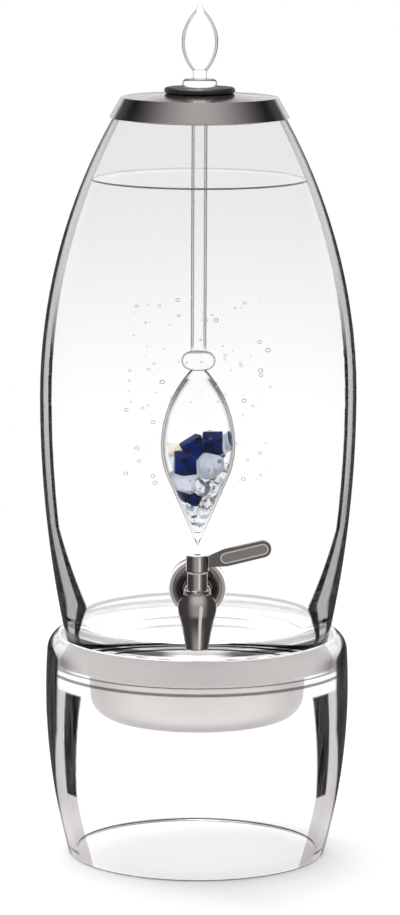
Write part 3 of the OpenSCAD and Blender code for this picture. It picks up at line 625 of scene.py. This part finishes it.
def vessel_colour(shader):
    """Painted shade on a thick wall: dark inner line, grey band, dark outline, shaded top, lines at its
    base.
    """
    height = height_of(shader)
    outside = entering_outside(shader)
    start = shader.ramp(height, *VESSEL_EDGE_HEIGHTS, *VESSEL_EDGES, kind="LINEAR")
    floor_start = shader.ramp(height, *VESSEL_FLOOR_HEIGHTS, *VESSEL_FLOOR_EDGES, kind="LINEAR")
    reach = edge_reach(shader, shader.largest(start, floor_start))
    band = shader.times(shader.ramp(reach, *VESSEL_BAND), outside)
    line = shader.times(band, shader.fall(reach, VESSEL_LINE_END), shader.fall(height, VESSEL_LINE_TOP))
    outline = shader.times(shader.ramp(reach, *VESSEL_OUTLINE), outside)
    shade = shader.times(shader.ramp(height, *VESSEL_SHADE_HEIGHTS), entering(shader))
    colour = shader.blend(shade, CLEAR, painted_glass_shade(VESSEL_SHADE))
    low_grey, high_grey = VESSEL_GREYS
    higher = shader.ramp(height, *VESSEL_GREY_HEIGHTS)
    pale = shader.blend(higher, painted_glass_shade(low_grey, WARM_TINT), painted_glass_shade(high_grey))
    colour = shader.blend(band, colour, pale)
    aside = shader.math("ABSOLUTE", shader.parts(shader.coords())["X"])
    base = shader.times(shader.between(height, VESSEL_BASE_LOW, VESSEL_BASE_HIGH), outside)
    base = shader.times(base, shader.ramp(aside, *VESSEL_BASE_GAP))
    colour = shader.blend(base, colour, painted_glass_shade(VESSEL_BASE_DARK))
    foot = shader.times(shader.between(height, VESSEL_FOOT_LOW, VESSEL_FOOT_HIGH), outside)
    colour = shader.blend(foot, colour, painted_glass_shade(VESSEL_FOOT_GREY, WARM_TINT))
    inside = shader.math("SUBTRACT", entering(shader), outside)
    ring = shader.times(shader.between(height, VESSEL_RING_LOW, VESSEL_RING_HIGH), inside)
    colour = shader.blend(ring, colour, painted_glass_shade(VESSEL_RING_GREY, WARM_TINT))
    dark = painted_streaky_shade(shader, VESSEL_DARK, VESSEL_SHADE_STREAKS, VESSEL_SHADE_STREAKS_RANGE)
    return shader.blend(shader.largest(line, outline), colour, dark)


def stand_colour(shader):
    """Painted shade on a thick wall: grey bands, dark streaks and outline, ledge lines and a dark foot
    edge.
    """
    height = height_of(shader)
    outside = entering_outside(shader)
    reach = edge_reach(shader, shader.ramp(height, *STAND_EDGE_HEIGHTS, *STAND_EDGES, kind="LINEAR"))
    band = shader.times(shader.ramp(reach, *STAND_BAND), outside, shader.fall(height, STAND_STREAK_HIGH))
    streak = shader.times(band, shader.between(height, STAND_STREAK_LOW, STAND_STREAK_HIGH))
    streak = shader.times(streak, shader.fall(reach, STAND_STREAK_END))
    thinner = shader.ramp(height, *STAND_THIN_HEIGHTS, STAND_THIN, 0.0, kind="LINEAR")
    shoulder = shader.ramp(height, *STAND_SHOULDER_HEIGHTS, 0.0, STAND_SHOULDER_THIN)
    narrowed = shader.math("SUBTRACT", reach, shader.math("ADD", thinner, shoulder))
    outline = shader.times(shader.ramp(narrowed, *STAND_OUTLINE), outside)
    mouth = shader.between(height, STAND_MOUTH_HEIGHTS, STAND_SHOULDER_HEIGHTS)
    mouth = shader.times(mouth, shader.ramp(reach, *STAND_MOUTH), outside)
    ledge = shader.largest(shader.between(height, STAND_LEDGE_LOW, STAND_LEDGE_HIGH),
                           shader.between(height, STAND_UPPER_LOW, STAND_UPPER_HIGH))
    foot = shader.ramp(off_axis(shader), *STAND_FOOT_RADIUS)
    foot = shader.times(foot, shader.fall(height, STAND_FOOT_HEIGHT))
    colour = shader.blend(band, CLEAR, painted_glass_shade(STAND_GREY, WARM_TINT))
    colour = shader.blend(mouth, colour, painted_glass_shade(STAND_MOUTH_GREY, WARM_TINT))
    colour = shader.blend(shader.times(ledge, outside), colour, painted_glass_shade(STAND_LEDGE_DARK))
    dark = painted_streaky_shade(shader, STAND_DARK, STAND_SHADE_STREAKS, STAND_SHADE_STREAKS_RANGE)
    colour = shader.blend(shader.largest(streak, outline), colour, dark)
    return shader.blend(foot, colour, painted_glass_shade(STAND_FOOT_DARK))


def thin_colour(shader, outline, dark, wider=0.0):
    """Thin glass with painted shade that darkens it towards its outline."""
    turned = shader.math("ADD", shader.slant(), wider)
    edge = shader.times(shader.ramp(turned, *outline), entering(shader))
    return shader.blend(edge, CLEAR, dark)


def wand_colour(shader):
    """Thin glass with painted dark outlines in the vessel, darkest at the neck, and paler ones above the
    lid.
    """
    height = height_of(shader)
    above = shader.ramp(height, *WAND_PALE_HEIGHTS)
    tube = shader.ramp(height, *WAND_TUBE_HEIGHTS, 0.0, WAND_TUBE_WIDER)
    tube = shader.times(tube, shader.rest_of(above))
    neck = shader.ramp(height, *WAND_NECK_HEIGHTS, *WAND_NECK_WIDER)
    neck = shader.times(neck, shader.fall(height, WAND_NECK_END))
    low, high = WAND_DARK
    dark = shader.blend(above, painted_glass_shade(low), painted_glass_shade(high))
    return thin_colour(shader, WAND_OUTLINE, dark, shader.math("ADD", tube, neck))


# Bubbles: thin glass with a painted dark outline
def bubble_colour(shader):
    return thin_colour(shader, BUBBLE_OUTLINE, painted_glass_shade(BUBBLE_DARK))


def glass(name, draw_painted_shade, ripple, bounces, bend):
    """Clear glass that lets lamp light through, and light that was caught in its wall for long."""
    shader = new_shader(name)
    normal = shader.bump(shader.noise(*GLASS_WAVES), ripple)
    # The glass colour is its painted shade
    body = shader.principled(Base_Color=draw_painted_shade(shader), Roughness=0.0, IOR=bend,
                             Transmission_Weight=1.0, Normal=normal)
    path = shader.light_path()
    caught = shader.math("GREATER_THAN", path["Ray Depth"], bounces - HALF_STEP)
    clear = shader.add("ShaderNodeBsdfTransparent")
    shader.join(shader.blend(caught, CLEAR, grey(CAUGHT_LIGHT)), clear.inputs["Color"])
    leaving = shader.largest(path["Is Shadow Ray"], caught)
    return shader.finish(shader.mix_surfaces(leaving, body, clear.outputs[0]))


def still_water(name):
    """Thin water surface, clear from above and by its hole, glossier and with a painted sheen where seen
    flat.
    """
    shader = new_shader(name)
    share = shader.ramp(shader.slant(), *WATER_SLANT, *WATER_SHEEN_SHARES)
    share = shader.times(share, shader.ramp(off_axis(shader), WATER_HOLE, WATER_FULL))
    normal = shader.bump(shader.noise(*WATER_WAVES), WATER_RIPPLE)
    return shader.finish(shader.principled(Base_Color=WATER_SHEEN_COLOUR, Roughness=WATER_ROUGHNESS,
                                           IOR=WATER_BEND, Alpha=share, Normal=normal))


def painted_water_line(name):
    """Painted dark line of shade where the water climbs the glass, fainter when it is seen from inside."""
    shader = new_shader(name)
    share = shader.ramp(shader.geometry("Backfacing"), 0.0, 1.0, *WATER_LINE_SHARES)
    colour = shader.blend(shader.noise(*WATER_LINE_NOISE), *WATER_LINE_SHADE_COLOURS)
    return shader.finish(shader.principled(Base_Color=colour, Roughness=WATER_LINE_ROUGHNESS, Alpha=share,
                                           Specular_IOR_Level=WATER_LINE_GLOSS))


# Stones
def veined_stone(name):
    """Deep blue stone with lighter blue clouds, and with pale stripes at the side of the vial."""
    shader = new_shader(name)
    clouds = shader.noise(*BLUE_CLOUDS)
    deep = shader.blend(shader.ramp(clouds, *BLUE_RANGE), *BLUE_COLOURS)
    stripes = shader.add("ShaderNodeTexWave", wave_type="BANDS", bands_direction="X")
    stripes.inputs["Scale"].default_value = STRIPE_SCALE
    stripes.inputs["Distortion"].default_value = STRIPE_DISTORTION
    stripes.inputs["Detail"].default_value = STRIPE_DETAIL
    place = shader.coords()
    shader.join(place, stripes.inputs["Vector"])
    vein = shader.ramp(stripes.outputs["Fac"], *STRIPE_RANGE, 0.0, STRIPE_SHARE)
    vein = shader.times(vein, shader.ramp(shader.parts(place)["X"], *STRIPED_FROM))
    colour = shader.blend(vein, deep, STRIPE_COLOUR)
    return shader.finish(shader.principled(Base_Color=colour, Roughness=STONE_ROUGHNESS,
                                           Specular_IOR_Level=BLUE_GLOSS,
                                           Normal=shader.bump(clouds, *BLUE_BUMP)))


def cloudy_stone(name):
    """Pale blue stone, cloudy and slightly see-through, with one chip in a warm tone."""
    shader = new_shader(name)
    clouds = shader.noise(*PALE_CLOUDS)
    colour = shader.blend(shader.ramp(clouds, *PALE_RANGE), *PALE_COLOURS)
    place = shader.parts(shader.coords())
    warm = shader.times(shader.fall(place["X"], WARM_LEFT_OF), shader.ramp(place["Z"], *WARM_ABOVE))
    colour = shader.blend(warm, colour, WARM_COLOUR)
    return shader.finish(shader.principled(Base_Color=colour, Roughness=STONE_ROUGHNESS,
                                           Transmission_Weight=PALE_CLEARNESS, IOR=PALE_BEND,
                                           Normal=shader.bump(clouds, *PALE_BUMP)))


def clear_stone(name):
    """Clear quartz chips with milky clouds, dark specks and uneven faces."""
    shader = new_shader(name)
    clouds = shader.noise(*QUARTZ_CLOUDS)
    colour = shader.blend(shader.ramp(clouds, *QUARTZ_RANGE), *QUARTZ_COLOURS)
    colour = shader.blend(shader.ramp(shader.noise(*SPECKS), *SPECK_RANGE), colour, SPECK_COLOUR)
    gloss = shader.ramp(clouds, *QUARTZ_GLOSS_RANGE, *QUARTZ_GLOSS)
    return shader.finish(shader.principled(Base_Color=colour, Roughness=gloss,
                                           Transmission_Weight=QUARTZ_CLEARNESS, IOR=QUARTZ_BEND,
                                           Normal=shader.bump(clouds, *QUARTZ_BUMP)))


# Metal, rubber and plastic
def satin_pressing(name):
    """Satin steel of the dish: soft lines round it, clouds, and a painted sheen that fades to its sides."""
    shader = new_shader(name)
    lines = shader.noise(*DISH_LINES)
    mean = shader.times(shader.math("ADD", lines, shader.noise(*DISH_CLOUDS)), 0.5)
    tint = shader.blend(mean, shade_of(DISH_COLOUR, DISH_CLOUDED), shade_of(DISH_COLOUR))
    # Painted shade: the collar is darker than the bowl, and the bowl darkens towards its sides
    darker = shader.largest(shader.ramp(shader.slant(), *DISH_TURNED),
                            shader.ramp(height_of(shader), *DISH_COLLAR))
    tint = shader.blend(darker, tint, shade_of(DISH_COLOUR, DISH_PAINTED_SHADE))
    # Painted light on faces that look up or inward, for the light that comes down through the vessel
    normal = shader.geometry("Normal")
    outward = shader.vector("DOT_PRODUCT", from_axis(shader), normal)
    lit = shader.largest(shader.ramp(shader.parts(normal)["Z"], *DISH_UP),
                         shader.math("LESS_THAN", outward, -OUTER_LEAST))
    tint = shader.blend(lit, tint, DISH_PAINTED_LIGHT)
    return shader.finish(shader.principled(Base_Color=tint,
                                           Metallic=shader.ramp(lit, 0.0, 1.0, *DISH_METAL),
                                           Roughness=shader.ramp(lines, *DISH_LINES_RANGE, *DISH_GLOSS),
                                           Normal=shader.bump(lines, *DISH_LINES_BUMP)))


def polished_metal(name, colour, gloss):
    """Polished metal with faint cloudy wear in its gloss."""
    shader = new_shader(name)
    roughness = shader.ramp(shader.noise(*WEAR), *WEAR_RANGE, *gloss)
    tint = shader.blend(shader.noise(*PATCHES), shade_of(colour, PATCH_SHADE), shade_of(colour))
    return shader.finish(shader.principled(Base_Color=tint, Metallic=1.0, Roughness=roughness))


def lever_finish(name):
    """Polished hub, satin top painted pale, and a darker paddle whose panel has a painted highlight on its
    rim.
    """
    shader = new_shader(name)
    from_hub = shader.vector("SUBTRACT", shader.coords(), HUB_AXIS)
    distance = shader.vector("LENGTH", shader.vector("MULTIPLY", from_hub, LEVEL))
    paddle = shader.ramp(distance, *HUB_EDGE)
    off_middle = shader.math("ABSOLUTE", shader.parts(from_hub)["Y"])
    rim = shader.times(shader.ramp(off_middle, *PADDLE_RIM), paddle)
    panel = shader.times(shader.fall(off_middle, PADDLE_PANEL), paddle)
    up = shader.parts(shader.geometry("Normal"))["Z"]
    top = shader.times(shader.ramp(up, *HUB_TOP), shader.rest_of(paddle))
    lines = shader.noise(*PADDLE_LINES)
    colour = shader.blend(paddle, shade_of(TAP_COLOUR), shader.blend(lines, *PADDLE_COLOURS))
    colour = shader.blend(panel, colour, shader.blend(lines, *PANEL_COLOURS))
    # Painted highlight on the panel's rim, and painted light on the hub's satin top
    colour = shader.blend(rim, colour, PADDLE_RIM_HIGHLIGHT)
    colour = shader.blend(top, colour, HUB_TOP_LIT_COLOUR)
    roughness = shader.ramp(paddle, 0.0, 1.0, *LEVER_GLOSS)
    roughness = shader.largest(roughness, shader.times(top, HUB_TOP_ROUGHNESS))
    metal = shader.ramp(top, 0.0, 1.0, *HUB_TOP_METAL)
    return shader.finish(shader.principled(Base_Color=colour, Metallic=metal, Roughness=roughness))


def flange_finish(name):
    """Polished bell with painted shade and a rim painted brighter as a highlight, round the tap's axis."""
    shader = new_shader(name)
    from_middle = shader.vector("SUBTRACT", shader.coords(), TAP_AXIS)
    distance = shader.vector("LENGTH", shader.vector("MULTIPLY", from_middle, UPRIGHT))
    wear = shader.noise(*WEAR)
    # Painted shade darkens the bell, and its rim is painted brighter as a highlight
    bell = shader.blend(wear, *FLANGE_BELL_SHADE_COLOURS)
    colour = shader.blend(shader.ramp(distance, *FLANGE_RIM), bell, FLANGE_RIM_HIGHLIGHT)
    roughness = shader.ramp(wear, *WEAR_RANGE, *FLANGE_GLOSS)
    return shader.finish(shader.principled(Base_Color=colour, Metallic=1.0, Roughness=roughness))


def grained_metal(name, colour, gloss):
    """Plain metal with a fine even grain."""
    shader = new_shader(name)
    grain = shader.noise(*GRAIN)
    tint = shader.blend(grain, shade_of(colour, GRAIN_SHADE), shade_of(colour))
    roughness = shader.ramp(grain, *GRAIN_RANGE, *gloss)
    return shader.finish(shader.principled(Base_Color=tint, Metallic=1.0, Roughness=roughness,
                                           Normal=shader.bump(grain, *GRAIN_BUMP)))


def moulded(name, colour, roughness):
    """Rubber or plastic with a fine moulded grain."""
    shader = new_shader(name)
    grain = shader.noise(*MOULD)
    tint = shader.blend(grain, shade_of(colour, MOULD_SHADE), shade_of(colour))
    return shader.finish(shader.principled(Base_Color=tint, Roughness=roughness,
                                           Normal=shader.bump(grain, *MOULD_BUMP)))


def dress(node, material):
    slots = nodes[node].data.materials
    slots.clear()
    slots.append(material)


def soften_edges(node):
    """Narrow rounding of a metal part's sharp edges."""
    bevel = nodes[node].modifiers.new("soft_edges", "BEVEL")
    bevel.width = EDGE_WIDTH
    bevel.segments = EDGE_STEPS
    bevel.limit_method = "ANGLE"
    bevel.angle_limit = EDGE_ANGLE
    bevel.harden_normals = True


# Pieces of water and air
def lathe(name, profile):
    """Object that turns a profile of radius and height pairs round the Z axis."""
    form = bmesh.new()
    rings = []
    for radius, height in profile:
        ring = []
        for i in range(LATHE_STEPS):
            angle = 2 * math.pi * i / LATHE_STEPS
            ring.append(form.verts.new((radius * math.cos(angle), radius * math.sin(angle), height)))
        rings.append(ring)
    for lower, upper in zip(rings, rings[1:]):
        for i in range(LATHE_STEPS):
            j = (i + 1) % LATHE_STEPS
            form.faces.new((lower[i], lower[j], upper[j], upper[i]))
    return object_of(name, form)


def make_water(surface, edge):
    """Water surface round the wand, which rises a little where it meets the glass."""
    profile = [(WATER_HOLE, WATER_HEIGHT), (WATER_RADIUS * WATER_FLAT, WATER_HEIGHT)]
    for i in range(MENISCUS_STEPS + 1):
        share = i / MENISCUS_STEPS
        climb = MENISCUS * share ** MENISCUS_POWER
        profile.append((WATER_RADIUS - MENISCUS * (1 - share), WATER_HEIGHT + climb))
    water = lathe("water_surface", profile)
    water.data.materials.append(surface)
    low, high = WATER_LINE
    line = lathe("water_line_shade", [(WATER_RADIUS, WATER_HEIGHT + low), (WATER_RADIUS, WATER_HEIGHT + high)])
    line.data.materials.append(edge)
    for piece in (water, line):
        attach(piece, "vessel")


def make_bubbles(material):
    """Small flattened bubbles that hang in the water round the wand."""
    chance = random.Random(BUBBLE_SEED)
    small, large = BUBBLE_SIZES
    form = bmesh.new()
    for _ in range(BUBBLE_COUNT):
        radius = small + (large - small) * chance.random() ** BUBBLE_POWER
        angle = chance.uniform(0, 2 * math.pi)
        out = chance.uniform(*BUBBLE_RING)
        height = chance.uniform(*BUBBLE_HEIGHTS)
        place = Matrix.Translation((out * math.cos(angle), out * math.sin(angle), height))
        shape = place @ Matrix.Diagonal((1, 1, BUBBLE_SQUASH, 1))
        bmesh.ops.create_icosphere(form, subdivisions=BUBBLE_FINENESS, radius=radius, matrix=shape)
    bubbles = object_of("water_bubbles", form)
    bubbles.data.materials.append(material)
    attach(bubbles, "vessel")


make_camera()
make_world()
make_floor()
make_key_light()

vessel_glass = glass("vessel_glass", vessel_colour, GLASS_RIPPLE, GLASS_BOUNCES, VESSEL_BEND)
stand_glass = glass("stand_glass", stand_colour, GLASS_RIPPLE, STAND_BOUNCES, STAND_BEND)
wand_clear = glass("wand_glass", wand_colour, NO_RIPPLE, GLASS_BOUNCES, WAND_BEND)
tap_metal = polished_metal("tap_metal", TAP_COLOUR, TAP_GLOSS)
flange_metal = flange_finish("flange_metal")
lever_metal = lever_finish("lever_metal")
lid_metal = polished_metal("lid_metal", LID_COLOUR, LID_GLOSS)
satin_steel = satin_pressing("satin_steel")
plain_steel = grained_metal("plain_steel", STEEL_COLOUR, STEEL_GLOSS)
dark_steel = grained_metal("dark_steel", DARK_STEEL_COLOUR, DARK_STEEL_GLOSS)
gasket_rubber = moulded("gasket_rubber", *GASKET_LOOK)
black_silicone = moulded("black_silicone", *STOPPER_LOOK)
pale_silicone = moulded("pale_silicone", *SEAL_LOOK)
white_plastic = moulded("white_plastic", *PLASTIC_LOOK)
materials = {
    "glass_vessel": vessel_glass,
    "glass_stand": stand_glass,
    "wand_glass": wand_clear,
    "support_dish": satin_steel,
    "tap_flange": flange_metal,
    "tap_body": tap_metal,
    "bonnet_nut": tap_metal,
    "lever_handle": lever_metal,
    "hub_screw": dark_steel,
    "lid_cap": lid_metal,
    "lid_seal": pale_silicone,
    "stopper": black_silicone,
    "tap_shank": plain_steel,
    "inner_washer": plain_steel,
    "lock_nut": plain_steel,
    "valve_plug": plain_steel,
    "outer_gasket": gasket_rubber,
    "inner_gasket": gasket_rubber,
    "stem_o_rings": gasket_rubber,
    "valve_sleeve": white_plastic,
    "stem_washer": white_plastic,
    "blue_stones": veined_stone("blue_stone"),
    "pale_stones": cloudy_stone("pale_stone"),
    "quartz_chips": clear_stone("quartz"),
}
for node, material in materials.items():
    dress(node, material)
for node in ("lever_handle", "tap_body", "tap_flange"):
    soften_edges(node)
make_water(still_water("water"), painted_water_line("water_line_shade"))
make_bubbles(glass("bubble", bubble_colour, NO_RIPPLE, GLASS_BOUNCES, BUBBLE_BEND))

bpy.context.scene.view_settings.view_transform = "Standard"
